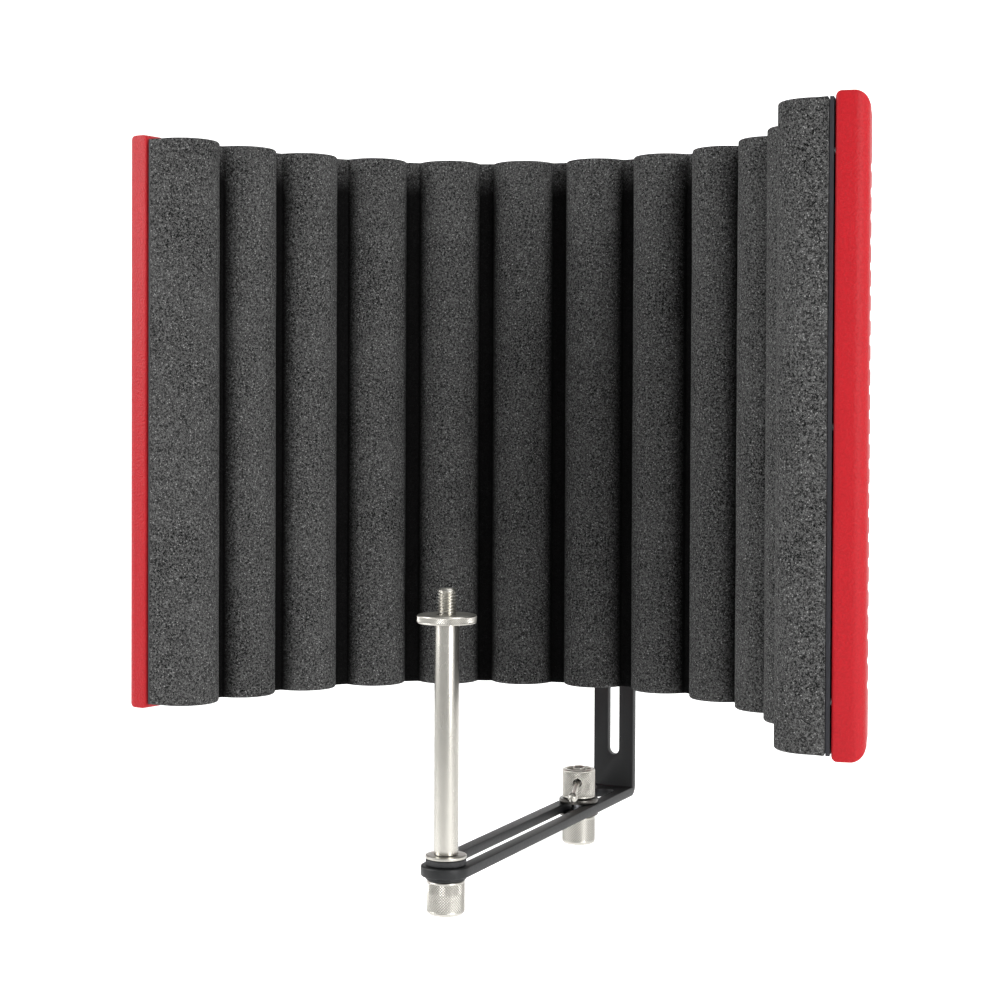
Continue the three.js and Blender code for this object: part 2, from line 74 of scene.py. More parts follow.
# ---- Shader expressions ----
class Sock:
    """A shader value. Arithmetic on it adds Math nodes."""

    def __init__(self, tree, socket):
        self.tree = tree
        self.socket = socket

    def math(self, operation, other, reflected=False):
        node = self.tree.nodes.new("ShaderNodeMath")
        node.operation = operation
        feed(self.tree, node.inputs[0], other if reflected else self)
        feed(self.tree, node.inputs[1], self if reflected else other)
        return Sock(self.tree, node.outputs[0])

    def __add__(self, other):
        return self.math("ADD", other)

    def __radd__(self, other):
        return self.math("ADD", other, True)

    def __sub__(self, other):
        return self.math("SUBTRACT", other)

    def __rsub__(self, other):
        return self.math("SUBTRACT", other, True)

    def __mul__(self, other):
        return self.math("MULTIPLY", other)

    def __rmul__(self, other):
        return self.math("MULTIPLY", other, True)

    def __truediv__(self, other):
        return self.math("DIVIDE", other)

    def __rtruediv__(self, other):
        return self.math("DIVIDE", other, True)

    def step_from(self, low, high):
        """Runs from 0 at low to 1 at high, and stays there."""
        return ((self - low) / (high - low)).math("MAXIMUM", 0.0).math("MINIMUM", 1.0)


def feed(tree, target, value):
    """Gives a socket a link, a colour or a plain value."""
    if isinstance(value, Sock):
        tree.links.new(value.socket, target)
    elif target.type == "RGBA":
        target.default_value = (*value, 1.0)
    else:
        target.default_value = value


class Finish:
    """A procedural material around one Principled shader."""

    def __init__(self, name, **constants):
        self.material = bpy.data.materials.new(f"{name}_finish")
        self.material.use_nodes = True
        self.tree = self.material.node_tree
        self.shader = self.tree.nodes["Principled BSDF"]
        for key, value in constants.items():
            feed(self.tree, self.shader.inputs[key.replace("_", " ")], value)

    def node(self, kind, settings=None, output=0, values=None, **inputs):
        """Adds a node. Settings come first, then values by socket number, then inputs by name."""
        node = self.tree.nodes.new(kind)
        for key, value in (settings or {}).items():
            setattr(node, key, value)
        for key, value in (values or {}).items():
            feed(self.tree, node.inputs[key], value)
        for key, value in inputs.items():
            feed(self.tree, node.inputs[key.replace("_", " ")], value)
        return Sock(self.tree, node.outputs[output])

    def place(self):
        return self.node("ShaderNodeTexCoord", output="Object")

    def stretched(self, scale):
        return self.node("ShaderNodeMapping", Vector=self.place(), Scale=scale)

    def noise(self, scale, detail=2.0, roughness=0.5, vector=None):
        vector = vector or self.place()
        values = {"Vector": vector, "Scale": scale, "Detail": detail, "Roughness": roughness}
        return self.node("ShaderNodeTexNoise", **values)

    def cells(self, scale):
        return self.node("ShaderNodeTexVoronoi", {"feature": "F1"}, Vector=self.place(), Scale=scale)

    def stored(self, name):
        """The number that mark() stored at each vertex."""
        return self.node("ShaderNodeAttribute", {"attribute_name": name}, "Fac")

    def blend(self, factor, first, second):
        return self.node("ShaderNodeMix", {"data_type": "RGBA"}, 2, {0: factor, 6: first, 7: second})

    def edges(self, radius):
        """Above 0 on the edges within a radius, for a lighter edge."""
        bevel = self.node("ShaderNodeBevel", {"samples": 4}, Radius=radius)
        facing = self.node("ShaderNodeNewGeometry", output="Normal")
        return 1.0 - self.node(
            "ShaderNodeVectorMath", {"operation": "DOT_PRODUCT"}, "Value", {0: bevel, 1: facing})

    def set(self, name, value):
        feed(self.tree, self.shader.inputs[name], value)

    def bump(self, height, distance, strength):
        normal = self.node("ShaderNodeBump", Height=height, Distance=distance, Strength=strength)
        self.set("Normal", normal)


def shade(color, factor):
    return tuple(factor * part for part in color)


def foam_finish(colors):
    """Open-cell foam: dark pores between light cell walls, with painted glints where the walls would catch
    the light. Painted shade darkens its valleys.
    """
    finish = Finish("foam", Roughness=0.95, Specular_IOR_Level=0.05)
    grain = finish.noise(scale=880, roughness=0.75)
    fine = finish.noise(scale=1900, detail=1.0, roughness=0.6)
    pores = finish.cells(scale=1000)
    sparks = finish.cells(scale=760)
    patches = finish.noise(scale=30)
    valley = finish.stored("valley")
    walls = grain * 0.6 + fine * 0.4
    pore_share, glint_share, patch_share, valley_shade_share = 0.35, 0.85, 0.1, 0.97
    hollow = shade(colors.foam, 0.03)
    tone = finish.blend(walls.step_from(0.42, 0.6), hollow, colors.foam)
    tone = finish.blend(pores.step_from(0.35, 0.0) * pore_share, tone, hollow)
    # Painted highlight: bright glints where the cell walls would catch the light.
    glint = sparks.step_from(0.26, 0.06) * grain.step_from(0.4, 0.56)
    tone = finish.blend(glint * glint_share, tone, shade(colors.foam, 4.2))
    tone = finish.blend(patches.step_from(0.35, 0.7) * patch_share, tone, shade(colors.foam, 1.5))
    # Painted shade: the valleys between the lobes are darkened nearly to black by the stored valley value.
    tone = finish.blend(valley.step_from(0.4, 0.92) * valley_shade_share, tone, shade(colors.foam, 0.01))
    finish.set("Base Color", tone)
    finish.bump(walls + pores * 0.3, distance=0.0008, strength=0.8)


def shell_finish(colors):
    """Satin moulded plastic with a fine spark-eroded grain."""
    finish = Finish("red_shell", Specular_IOR_Level=0.2)
    grain = finish.noise(scale=900, detail=3.0, roughness=0.55)
    soft = finish.noise(scale=26)
    # Painted highlight: the edges are lighter red, as if they caught the light.
    lighter_edge = finish.edges(0.0012).step_from(0.02, 0.3)
    grain_share, soft_share, edge_share = 0.7, 0.15, 0.25
    dark, edge_tone = shade(colors.shell, 0.8), (0.7, 0.08, 0.09)
    tone = finish.blend(grain.step_from(0.4, 0.6) * grain_share, colors.shell, dark)
    tone = finish.blend(soft.step_from(0.4, 0.7) * soft_share, tone, dark)
    tone = finish.blend(lighter_edge * edge_share, tone, edge_tone)
    finish.set("Base Color", tone)
    finish.set("Roughness", 0.44 + grain * 0.12 - lighter_edge * 0.08)
    finish.bump(grain, distance=0.0006, strength=0.8)


def felt_finish(colors):
    """Pressed felt with fibres that lie across its depth."""
    finish = Finish("felt", Roughness=1.0, Sheen_Weight=0.3)
    fibres = finish.noise(scale=420, detail=4.0, roughness=0.7, vector=finish.stretched((1.0, 1.0, 3.0)))
    between = (0.02, 0.02, 0.021)
    finish.set("Base Color", finish.blend(fibres.step_from(0.35, 0.65), between, colors.felt))
    finish.bump(fibres, distance=0.0008, strength=0.8)


def steel_finish(colors):
    """Satin powder coat: a fine orange peel, with a painted highlight that makes the edges slightly lighter.
    """
    finish = Finish("black_steel", Specular_IOR_Level=0.3)
    peel = finish.noise(scale=700)
    dust = finish.noise(scale=60, detail=4.0, roughness=0.6)
    # Painted highlight: the edges are lighter grey.
    lighter_edge = finish.edges(0.0007).step_from(0.03, 0.4)
    dust_share, edge_share = 0.35, 0.45
    edge_tone = (0.13, 0.135, 0.14)
    tone = finish.blend(dust.step_from(0.45, 0.8) * dust_share, colors.steel, shade(colors.steel, 1.8))
    tone = finish.blend(lighter_edge * edge_share, tone, edge_tone)
    finish.set("Base Color", tone)
    finish.set("Roughness", 0.4 + peel * 0.16)
    finish.bump(peel, distance=0.00012, strength=0.5)


def nickel_finish(name, colors, brushed, roughness):
    """Satin nickel plate. The brush marks run round the piece's own axis, and painted shade darkens the knurl
    grooves.
    """
    finish = Finish(name, Metallic=1.0)
    lines = finish.noise(scale=150, detail=3.0, roughness=0.6, vector=finish.stretched(brushed))
    cloud = finish.noise(scale=70, detail=3.0, roughness=0.55)
    lighter_edge = finish.edges(0.0004).step_from(0.03, 0.35)
    line_share, cloud_share, edge_share, groove_shade_share = 0.4, 0.25, 0.3, 0.8
    edge_tone = (0.8, 0.78, 0.74)
    tone = finish.blend(lines.step_from(0.3, 0.7) * line_share, colors.nickel, shade(colors.nickel, 0.78))
    tone = finish.blend(cloud.step_from(0.45, 0.75) * cloud_share, tone, shade(colors.nickel, 0.7))
    tone = finish.blend(lighter_edge * edge_share, tone, edge_tone)
    # Painted shade in the knurl grooves, from the stored groove value.
    groove = finish.stored("groove").step_from(0.25, 1.0)
    tone = finish.blend(groove * groove_shade_share, tone, shade(colors.nickel, 0.22))
    finish.set("Base Color", tone)
    finish.set("Roughness", roughness + lines * 0.1 + cloud * 0.05)
    finish.bump(lines, distance=0.00004, strength=0.35)


def dark_metal_finish(name, base, roughness):
    """Dull plated steel with faint drawn lines."""
    finish = Finish(name, Metallic=1.0)
    lines = finish.noise(scale=160, detail=3.0, roughness=0.6, vector=finish.stretched((1.0, 1.0, 12.0)))
    finish.set("Base Color", finish.blend(lines.step_from(0.3, 0.7), base, shade(base, 0.55)))
    finish.set("Roughness", roughness + lines * 0.15)
    finish.bump(lines, distance=0.00005, strength=0.4)


def rubber_finish(name, base):
    """Dark rubber or board with a fine even grain."""
    finish = Finish(name, Specular_IOR_Level=0.4)
    grain = finish.noise(scale=600, detail=3.0, roughness=0.6)
    finish.set("Base Color", finish.blend(grain.step_from(0.3, 0.7), base, shade(base, 1.9)))
    finish.set("Roughness", 0.6 + grain * 0.2)
    finish.bump(grain, distance=0.00015, strength=0.5)


def make_finishes(colors):
    """All materials, made once."""
    if "foam_finish" not in bpy.data.materials:
        foam_finish(colors)
        shell_finish(colors)
        felt_finish(colors)
        steel_finish(colors)
        nickel_finish("nickel_upright", colors, brushed=(1.0, 1.0, 0.05), roughness=0.2)
        nickel_finish("nickel_turned", colors, brushed=(0.6, 0.6, 14.0), roughness=0.26)
        nickel_finish("nickel_back", colors, brushed=(0.6, 14.0, 0.6), roughness=0.26)
        dark_metal_finish("zinc_steel", (0.42, 0.43, 0.45), roughness=0.32)
        dark_metal_finish("dark_nickel", (0.12, 0.115, 0.105), roughness=0.25)
        rubber_finish("black_rubber", (0.012, 0.012, 0.013))
        rubber_finish("liner_board", (0.009, 0.009, 0.012))


# ---- Mesh helpers ----
def new_piece(name, vertices, faces, finish, sharp_degrees=32.0, inlay=(None, ())):
    """A mesh object. inlay is another finish and the numbers of the faces that have it."""
    mesh = bpy.data.meshes.new(name)
    mesh.from_pydata([tuple(v) for v in vertices], [], faces)
    inlay_finish, inlaid = inlay
    for number in inlaid:
        mesh.polygons[number].material_index = 1
    work = bmesh.new()
    work.from_mesh(mesh)
    bmesh.ops.remove_doubles(work, verts=work.verts, dist=SAME_PLACE)
    bmesh.ops.recalc_face_normals(work, faces=work.faces)
    work.to_mesh(mesh)
    work.free()
    piece = bpy.data.objects.new(name, mesh)
    bpy.context.scene.collection.objects.link(piece)
    finish_mesh(piece, finish, sharp_degrees)
    if inlay_finish:
        mesh.materials.append(inlay_finish)
    return piece


def finish_mesh(piece, finish, sharp_degrees):
    """Gives the piece one finish, and smooth faces between the edges sharper than an angle."""
    mesh = piece.data
    mesh.materials.clear()
    mesh.materials.append(finish)
    mesh.shade_smooth()
    mesh.set_sharp_from_angle(angle=math.radians(sharp_degrees))


def attach(piece, node):
    """The piece rides on the body that its CAD node belongs to, and stands for that node."""
    bodies = frame["record"]["behaviour"]["bodies"]
    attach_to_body(piece, next(name for name, members in bodies.items() if node in members))
    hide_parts(node)


def middle(node):
    low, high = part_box(node)
    return Vector([(a + b) / 2 for a, b in zip(low, high)])


def low_of(node, axis=2):
    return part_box(node)[0][axis]


def high_of(node, axis=2):
    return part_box(node)[1][axis]


def radius_of(node):
    low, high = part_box(node)
    return (high[0] - low[0]) / 2


def extent(node, axis=2):
    """Where a round node starts and ends along its axis, and its radius."""
    return low_of(node, axis), high_of(node, axis), radius_of(node)


def triangle_wave(value):
    """0 at whole numbers and 1 halfway between them."""
    return 1.0 - abs(2.0 * (value - math.floor(value)) - 1.0)


def knurl_share(turn, height, teeth, knurl):
    """How far a diamond knurl is cut in, from 0 on a point to 1 in a groove. It fades at both ends."""
    around = turn * teeth / (2 * math.pi)
    up = height / knurl.pitch
    point = min(triangle_wave(around + up), triangle_wave(around - up))
    fade = min(1.0, (height - knurl.start) / knurl.pitch * 2, (knurl.end - height) / knurl.pitch * 2)
    return max(0.0, fade) * (1.0 - min(1.0, 1.5 * point))


def thread_cut(turn, height, thread):
    """How far a thread is cut in, from nothing on its crest to its depth at the root."""
    if height <= thread.start:
        return 0.0
    tip_share = 0.35
    fade = min(1.0, (thread.end - height) / thread.pitch + tip_share)
    phase = height / thread.pitch - turn / (2 * math.pi)
    return thread.depth * (1.0 - triangle_wave(phase)) * max(0.0, fade)


def profile_rows(profile, widest, knurl, thread):
    """(radius, height, textured) along a profile. A knurl or a thread has several rows to each pitch."""
    rows = []
    for (r0, z0), (r1, z1) in zip(profile, profile[1:]):
        steps = 1
        for band, per_pitch in ((knurl, 4), (thread, 8)):
            inside = band and min(z0, z1) < band.end and max(z0, z1) > band.start
            if inside and widest - min(r0, r1) < SAME_PLACE:
                steps = max(1, round(abs(z1 - z0) / (band.pitch / per_pitch)))
        rows += [(r0 + (r1 - r0) * i / steps, z0 + (z1 - z0) * i / steps, steps > 1) for i in range(steps)]
    return rows


def turned(name, profile, finish, at=(0, 0, 0), axis="Z", sides=96, knurl=None, thread=None):
    """Turns (radius, height) pairs about an axis. The profile starts and ends on the axis or closes.

    knurl and thread are bands on the profile's widest part.
    """
    widest = max(radius for radius, z in profile if not thread or thread.start < z <= thread.end)
    rows = profile_rows(profile, widest, knurl, thread)
    closed = profile[0] == profile[-1]
    if not closed:
        rows.append((*profile[-1], False))
    if knurl:
        teeth = round(2 * math.pi * widest / knurl.pitch)
        sides = 4 * teeth
    vertices, rings, grooves = [], [], []
    for radius, height, textured in rows:
        if radius < ON_AXIS:
            rings.append([len(vertices)])
            vertices.append((0.0, 0.0, height))
            grooves.append(0.0)
            continue
        rings.append(list(range(len(vertices), len(vertices) + sides)))
        for side in range(sides):
            turn = 2 * math.pi * side / sides
            r, groove = radius, 0.0
            if textured and knurl:
                groove = knurl_share(turn, height, teeth, knurl)
                r -= knurl.depth * groove
            if textured and thread:
                r -= thread_cut(turn, height, thread)
            vertices.append((r * math.cos(turn), r * math.sin(turn), height))
            grooves.append(groove)
    following = rings[1:] + rings[:1] if closed else rings[1:]
    faces = [face for first, second in zip(rings, following) for face in bridge(first, second)]
    if axis == "Y":
        vertices = [(x, z, -y) for x, y, z in vertices]
    piece = new_piece(name, [Vector(v) + Vector(at) for v in vertices], faces, finish)
    # The finish paints shade into the knurl grooves from this value.
    if knurl:
        mark(piece, "groove", grooves)
    return piece


def mark(piece, name, values):
    """Stores one number at each vertex, for the finish to read."""
    if len(values) != len(piece.data.vertices):
        raise RuntimeError(f"{piece.name} lost vertices before it was marked")
    piece.data.attributes.new(name, "FLOAT", "POINT").data.foreach_set("value", values)


def bridge(first, second):
    """Faces between two rings; either may be one point on the axis."""
    count = max(len(first), len(second))
    faces = []
    for i in range(count):
        j = (i + 1) % count
        face = [first[i % len(first)], first[j % len(first)]]
        face += [second[j % len(second)], second[i % len(second)]]
        face = list(dict.fromkeys(face))
        if len(face) > 2:
            faces.append(face)
    return faces


def eased(profile, size):
    """The same turned profile with each corner rounded."""
    steps, longest = 3, 0.4
    result = []
    count = len(profile)
    for i, (r, z) in enumerate(profile):
        if r < ON_AXIS or i in (0, count - 1):
            result.append((r, z))
            continue
        (r0, z0), (r1, z1) = profile[i - 1], profile[i + 1]
        first, second = math.hypot(r - r0, z - z0), math.hypot(r1 - r, z1 - z)
        ease = min(size, longest * first, longest * second)
        before = (r + (r0 - r) * ease / first, z + (z0 - z) * ease / first)
        after = (r + (r1 - r) * ease / second, z + (z1 - z) * ease / second)
        for step in range(steps + 1):
            t = step / steps
            weights = ((1 - t) ** 2, 2 * t * (1 - t), t ** 2)
            result.append(tuple(
                sum(w * c for w, c in zip(weights, parts)) for parts in zip(before, (r, z), after)))
    return result


def bevelled(piece, width, segments, over_degrees):
    """Rounds every edge where two faces meet at more than an angle."""
    sliver, flat = 2e-6, math.radians(0.5)
    work = bmesh.new()
    work.from_mesh(piece.data)
    bmesh.ops.remove_doubles(work, verts=work.verts, dist=sliver)
    bmesh.ops.dissolve_limit(work, angle_limit=flat, verts=work.verts, edges=work.edges)
    edges = [e for e in work.edges if e.is_manifold and e.calc_face_angle(0) > math.radians(over_degrees)]
    bmesh.ops.bevel(work, geom=edges, offset=width, segments=segments, profile=0.5, affect="EDGES",
                    clamp_overlap=True)
    work.to_mesh(piece.data)
    work.free()


def combine(piece, tool, operation):
    """An exact boolean, applied at once. The tool is removed."""
    modifier = piece.modifiers.new(operation, "BOOLEAN")
    modifier.operation = operation
    modifier.solver = "EXACT"
    modifier.object = tool
    graph = bpy.context.evaluated_depsgraph_get()
    mesh = bpy.data.meshes.new_from_object(piece.evaluated_get(graph))
    piece.modifiers.clear()
    piece.data = mesh
    bpy.data.objects.remove(tool)


def drop_flaps(piece):
    """Removes the pairs of thin triangles that a cut leaves back to back."""
    work = bmesh.new()
    work.from_mesh(piece.data)
    by_corners = {}
    for face in bmesh.ops.triangulate(work, faces=work.faces)["faces"]:
        by_corners.setdefault(frozenset(corner.index for corner in face.verts), []).append(face)
    flaps = [face for pair in by_corners.values() if len(pair) > 1 for face in pair]
    bmesh.ops.delete(work, geom=flaps, context="FACES")
    work.to_mesh(piece.data)
    work.free()


def prism(name, outline, low, high, across="Z"):
    """Extrudes a flat outline. It is drawn in X and Y, or for across X in Y and Z, or for Y in X and Z."""
    place = {
        "Z": lambda a, b, c: (a, b, c),
        "X": lambda a, b, c: (c, a, b),
        "Y": lambda a, b, c: (a, c, b),
    }[across]
    count = len(outline)
    vertices = [place(a, b, low) for a, b in outline] + [place(a, b, high) for a, b in outline]
    faces = [list(range(count)), list(range(2 * count - 1, count - 1, -1))]
    faces += [[i, (i + 1) % count, count + (i + 1) % count, count + i] for i in range(count)]
    return new_piece(name, vertices, faces, material("black_steel"))


def arc(cx, cy, radius, start, end, steps=24):
    """Points on a circle, from one angle to another in degrees."""
    turns = [math.radians(start + (end - start) * step / steps) for step in range(steps + 1)]
    return [(cx + radius * math.cos(turn), cy + radius * math.sin(turn)) for turn in turns]


# ---- Settings ----
def length(name, description, millimetres):
    return bpy.props.FloatProperty(
        name=name, description=description, default=millimetres * MM, unit="LENGTH", precision=4)


def paint(name, description, color):
    return bpy.props.FloatVectorProperty(
        name=name, description=description, default=color, subtype="COLOR", min=0.0, max=1.0)


class ShieldSizes(bpy.types.PropertyGroup):
    """Sizes of the curve that the foam and the shell follow, and of the finer details."""

    lobes: bpy.props.IntProperty(name="Lobes", description="Round foam lobes", default=13)
    lobe_pitch: length("Lobe pitch", "Between lobe tips, along their curve", 39.7)
    lobe_radius: length("Lobe radius", "Of one round lobe", 18.5)
    valley: length("Valley depth", "From the lobe tips to the valleys", 13.5)
    foam_depth: length("Foam depth", "From the lobe tips to the foam's back", 25.4)
    lit_depth: length("Lit depth", "How far light reaches down the valleys from the top", 30)
    foam_edge: length("Foam edge", "Rounding at the foam's cut top and foot", 1.4)
    back_radius: length("Back radius", "Of the tip curve behind the microphone", 150)
    wing_radius: length("Wing radius", "Of the tip curve at each wing", 295)
    wing_length: length("Wing length", "Along the curve", 88)
    shell_front: length("Shell front", "Behind the lobe tips", 28.1)
    shell_depth: length("Shell depth", "Front to back", 15.7)
    wall: length("Wall", "Thickness of the shell's back", 2.5)
    flange: length("Flange", "Thickness of the shell's top and foot", 3)
    edge_round: length("Edge round", "Of the shell's outer edges", 7)
    rail_proud: length("Rail proud", "How far the rails stand above the shell", 1.2)
    edge_chamfer: length("Edge chamfer", "Of the shell's front edges", 3)
    rib_pitch: length("Rib pitch", "Between grooves", 11.7)
    grooves: bpy.props.IntProperty(name="Grooves", description="Across the shell's back", default=22)
    groove_width: length("Groove width", "At the ribs' faces", 4.6)
    groove_depth: length("Groove depth", "Below the ribs", 1.3)
    slot_length: length("Slot length", "Of one vent in a groove", 15)
    slot_gap: length("Slot gap", "Between two vents in a groove", 6)
    band_width: length("Mount band", "Plain band down the shell's back", 46)
    rail_length: length("Rail length", "Of an end rail, along the curve", 12)
    steel_ease: length("Steel edge", "Rounding of the bracket's sheared edges", 0.6)
    knurl_pitch: length("Knurl pitch", "Between the points of a knurl", 1.4)
    knurl_depth: length("Knurl depth", "From a knurl's points to its grooves", 0.4)
    thread_pitch: length("Thread pitch", "Of the microphone stud", 1.5875)
    thread_depth: length("Thread depth", "From crest to root", 0.85)


class ShieldColors(bpy.types.PropertyGroup):
    """Base colours of the finishes."""

    foam: paint("Foam", "Charcoal foam", (0.092, 0.092, 0.091))
    shell: paint("Shell", "Red plastic", (0.34, 0.003, 0.008))
    felt: paint("Felt", "Inner felt", (0.1, 0.097, 0.092))
    steel: paint("Steel", "Black powder coat", (0.007, 0.0075, 0.008))
    nickel: paint("Nickel", "Nickel plate", (0.47, 0.455, 0.415))
    floor: paint("Floor", "Pale studio floor", (0.9, 0.9, 0.9))


def sizes():
    return bpy.context.scene.shield_sizes


def material(name):
    make_finishes(bpy.context.scene.shield_colors)
    return bpy.data.materials[f"{name}_finish"]


# ---- The shield's curve ----
class Curve:
    """The curve through the lobe tips, seen from above."""

    def __init__(self, s):
        self.back = s.back_radius
        self.wing = s.wing_radius
        self.half = (s.lobes - 1) / 2 * s.lobe_pitch + s.lobe_radius
        self.arc = self.half - s.wing_length
        self.tip = high_of("foam_absorber", 1) - s.foam_depth

    def angle(self, along):
        distance = abs(along)
        turn = min(distance, self.arc) / self.back + max(distance - self.arc, 0.0) / self.wing
        return math.copysign(turn, along)

    def flat(self, along, offset):
        side = -1.0 if along < 0 else 1.0
        angle = abs(self.angle(along))
        turn = min(angle, self.arc / self.back)
        x = self.back * math.sin(turn) + self.wing * (math.sin(angle) - math.sin(turn))
        y = self.back * (math.cos(turn) - 1) + self.wing * (math.cos(angle) - math.cos(turn))
        return side * (x + offset * math.sin(angle)), self.tip + y + offset * math.cos(angle)


def foam_outline(s, curve):
    """The foam seen from above: one round lobe after another, then the curved back.

    With each point comes its depth below the lobe tips, from 0 to 1 in a valley.
    """
    steps, back_steps = 26, 90
    outline, depths = [], []
    last = (s.lobes - 1) // 2
    cut_off = math.acos(1 - s.valley / s.lobe_radius)
    for lobe in range(-last, last + 1):
        along = lobe * s.lobe_pitch
        cx, cy = curve.flat(along, s.lobe_radius)
        start = QUARTER if lobe == -last else cut_off
        end = QUARTER if lobe == last else cut_off
        for step in range(steps + 1):
            turn = start - (start + end) * step / steps
            angle = curve.angle(along) + math.pi + turn
            outer = turn > 0 and lobe == -last or turn < 0 and lobe == last
            depths.append(0.0 if outer else (1 - math.cos(turn)) * s.lobe_radius / s.valley)
            outline.append((cx + s.lobe_radius * math.sin(angle), cy + s.lobe_radius * math.cos(angle)))
    for step in range(back_steps + 1):
        outline.append(curve.flat(curve.half * (1 - 2 * step / back_steps), s.foam_depth))
        depths.append(0.0)
    return outline, depths


def inward_normals(outline):
    count = len(outline)
    area = sum(outline[i - 1][0] * outline[i][1] - outline[i][0] * outline[i - 1][1] for i in range(count))
    sign = math.copysign(1.0, area)
    normals = []
    for i in range(count):
        (x0, y0), (x1, y1) = outline[i - 1], outline[(i + 1) % count]
        size = math.hypot(x1 - x0, y1 - y0)
        normals.append((-sign * (y1 - y0) / size, sign * (x1 - x0) / size))
    return normals


def rounded_levels(low, high, ease, bends, rows):
    """(height, inset) up a side whose top and foot edges are rounded."""
    turns = [QUARTER * bend / bends for bend in range(bends + 1)]
    foot = [(low + ease * (1 - math.sin(turn)), ease * (1 - math.cos(turn))) for turn in reversed(turns)]
    side = [(low + ease + (high - low - 2 * ease) * row / rows, 0.0) for row in range(1, rows)]
    return foot + side + [(high - ease * (1 - math.sin(turn)), ease * (1 - math.cos(turn))) for turn in turns]


class SHIELD_OT_foam(bpy.types.Operator):
    """Build the lobed foam absorber"""

    bl_idname = "shield.foam"
    bl_label = "Foam absorber"

    def execute(self, context):
        s = sizes()
        outline, depths = foam_outline(s, Curve(s))
        normals = inward_normals(outline)
        low, high = low_of("foam_absorber"), high_of("foam_absorber")
        levels = rounded_levels(low, high, s.foam_edge, bends=4, rows=46)
        unevenness, waves_around, waves_up = 0.0002, 55, 26
        vertices, rings = [], []
        for z, inset in levels:
            rings.append(list(range(len(vertices), len(vertices) + len(outline))))
            for (x, y), (nx, ny) in zip(outline, normals):
                wave = noise.noise(Vector((x * waves_around, y * waves_around, z * waves_up)))
                shift = inset + unevenness * wave
                vertices.append((x + nx * shift, y + ny * shift, z))
        faces = [rings[0], rings[-1][::-1]]
        for first, second in zip(rings, rings[1:]):
            faces += bridge(first, second)
        piece = new_piece("foam_look", vertices, faces, material("foam"), 40)
        # Painted shade for the foam finish: each valley point's depth share, lessened near the top, where
        # painted light reaches down the valleys.
        cut_face = [0.0] * len(depths)
        shaded, most_lit = [], 0.6
        for z, _ in levels[1:-1]:
            lit = max(0.0, 1 - (levels[-1][0] - z) / s.lit_depth)
            shaded += [depth * (1 - most_lit * lit * lit) for depth in depths]
        mark(piece, "valley", cut_face + shaded + cut_face)
        attach(piece, "foam_absorber")
        return {"FINISHED"}


# ---- Shell ----
def groove_points(s, centre):
    """(depth share, height) across one groove, from below to above. The middle pair is its floor."""
    half, floor = s.groove_width / 2, s.groove_width / 2 - s.groove_depth
    mouth = [(0.0, half + 0.0007), (0.06, half + 0.0002), (0.3, half - 0.0003)]
    side = mouth + [(0.85, floor + 0.0004), (1.0, floor)]
    below = [(depth, centre - rise) for depth, rise in side]
    return below + [(depth, centre + rise) for depth, rise in reversed(side)]


def shell_section(s, half):
    """The channel's closed section as (offset, height, groove share), and where its groove floors start."""
    front, back = s.shell_front, s.shell_front + s.shell_depth
    inner = half - s.flange
    wall = back - s.groove_depth - s.wall
    corner = s.edge_round - s.flange
    large, small, bends = s.edge_round, s.edge_chamfer, 8
    turns = [QUARTER * bend / bends for bend in range(bends + 1)]
    edge = [(back - large * (1 - math.sin(t)), half - large * (1 - math.cos(t)), 0) for t in turns]
    nose = [(front + small * (1 - math.sin(t)), half - small * (1 - math.cos(t)), 0) for t in turns[::2]]
    points = [(offset, -z, share) for offset, z, share in reversed(nose)]
    points += [(offset, -z, share) for offset, z, share in edge]
    floors = []
    for groove in range(s.grooves):
        across = groove_points(s, (groove - (s.grooves - 1) / 2) * s.rib_pitch)
        floors.append(len(points) + len(across) // 2 - 1)
        points += [(back, z, depth) for depth, z in across]
    points += list(reversed(edge)) + nose
    points += [(front, inner, 0), (wall - corner, inner, 0), (wall, inner - corner, 0)]
    points += [(wall, corner - inner, 0), (wall - corner, -inner, 0), (front, -inner, 0)]
    return points, floors


def shell_stations(s, curve, reach):
    """The (distance along, groove share) of each section, and the spans where the grooves are vented."""
    band = curve.back * math.asin(s.band_width / 2 / (curve.back + s.shell_front + s.shell_depth))
    groove_end = 0.0012
    right, vents = [(band, 0.0), (band + groove_end, 1.0)], set()
    position = band + s.slot_gap
    while position + s.slot_length < reach - s.slot_gap:
        end = position + s.slot_length
        right += [(position, 1.0), (end, 1.0)]
        vents |= {(position, end), (-end, -position)}
        position = end + s.slot_gap
    right.append((reach, 1.0))
    left = [(-position, share) for position, share in reversed(right)]
    middle = [(band * (step / 3 - 1), 0.0) for step in range(1, 6)]
    return left + middle + right, vents


